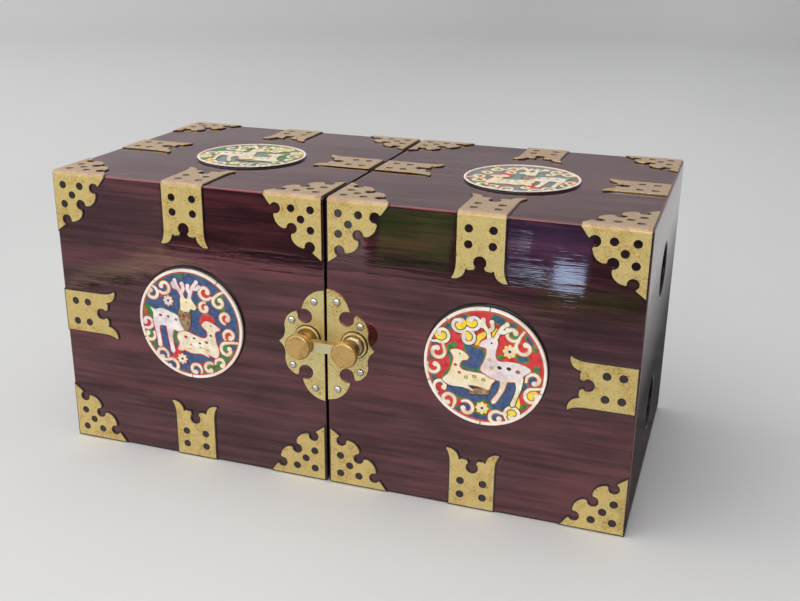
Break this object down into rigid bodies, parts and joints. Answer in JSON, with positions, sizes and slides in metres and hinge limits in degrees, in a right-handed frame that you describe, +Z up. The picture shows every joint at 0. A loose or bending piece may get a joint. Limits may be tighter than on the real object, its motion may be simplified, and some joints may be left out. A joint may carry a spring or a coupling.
{
  "type": "lacquered jewelry chest",
  "caption": "Lacquered wooden jewelry chest that opens like a book, bound with pierced brass leaves, with painted roundels, finger holes in its ends and a knobbed swing latch.",
  "frame": {"origin": "middle of the whole footprint box, knobs and hinges included, on the underside", "axes": "+X along the length towards the right half, +Y to the back, +Z up"},
  "size_m": [0.3026, 0.1678, 0.1512],
  "materials": {
    "lacquer": "dark red-brown wood under thick glossy lacquer",
    "sheet_brass": "pale yellow sheet brass, brushed and lightly pitted",
    "latch_knob_brass": "brownish tarnished brass, satin",
    "polished_brass": "polished brass",
    "roundel": "painted translucent horn with a bone rim, glossy",
    "steel": "bright nails and hinge pins"
  },
  "bodies": {
    "left_half": {"left_back_board": "lacquer", "left_back_bottom_inner_corner": "sheet_brass", "left_back_bottom_outer_corner": "sheet_brass", "left_back_bottom_strap": "sheet_brass", "left_back_end_strap": "sheet_brass", "left_bottom_board": "lacquer", "left_end_board": "lacquer", "left_front_board": "lacquer", "left_front_bottom_inner_corner": "sheet_brass", "left_front_bottom_outer_corner": "sheet_brass", "left_front_bottom_strap": "sheet_brass", "left_front_end_strap": "sheet_brass", "left_front_roundel": "roundel", "left_latch_plate": "sheet_brass", "left_latch_post": "latch_knob_brass", "left_top_back_inner_corner": "sheet_brass", "left_top_back_outer_corner": "sheet_brass", "left_top_back_strap": "sheet_brass", "left_top_board": "lacquer", "left_top_end_strap": "sheet_brass", "left_top_front_inner_corner": "sheet_brass", "left_top_front_outer_corner": "sheet_brass", "left_top_front_strap": "sheet_brass", "left_top_roundel": "roundel", "left_top_split_strap": "sheet_brass", "lower_hinge_left_leaf": "sheet_brass", "lower_hinge_pin": "steel", "upper_hinge_left_leaf": "sheet_brass", "upper_hinge_pin": "steel"},
    "right_half": {"lower_hinge_right_leaf": "sheet_brass", "right_back_board": "lacquer", "right_back_bottom_inner_corner": "sheet_brass", "right_back_bottom_outer_corner": "sheet_brass", "right_back_bottom_strap": "sheet_brass", "right_back_end_strap": "sheet_brass", "right_bottom_board": "lacquer", "right_end_board": "lacquer", "right_front_board": "lacquer", "right_front_bottom_inner_corner": "sheet_brass", "right_front_bottom_outer_corner": "sheet_brass", "right_front_bottom_strap": "sheet_brass", "right_front_end_strap": "sheet_brass", "right_front_roundel": "roundel", "right_latch_plate": "sheet_brass", "right_latch_post": "latch_knob_brass", "right_top_back_inner_corner": "sheet_brass", "right_top_back_outer_corner": "sheet_brass", "right_top_back_strap": "sheet_brass", "right_top_board": "lacquer", "right_top_end_strap": "sheet_brass", "right_top_front_inner_corner": "sheet_brass", "right_top_front_outer_corner": "sheet_brass", "right_top_front_strap": "sheet_brass", "right_top_roundel": "roundel", "right_top_split_strap": "sheet_brass", "upper_hinge_right_leaf": "sheet_brass"},
    "latch_arm": {"latch_arm": "polished_brass"}
  },
  "joints": [
    {"name": "half_hinge", "type": "hinge", "parent": "left_half", "child": "right_half", "pos_m": [0, 0.08169, 0.075], "axis": [0, 0, 1], "range_deg": [0, 180]},
    {"name": "latch_swing", "type": "hinge", "parent": "left_half", "child": "latch_arm", "pos_m": [-0.0097, -0.07691, 0.0783], "axis": [0, -1, 0], "range_deg": [0, 180]}
  ]
}
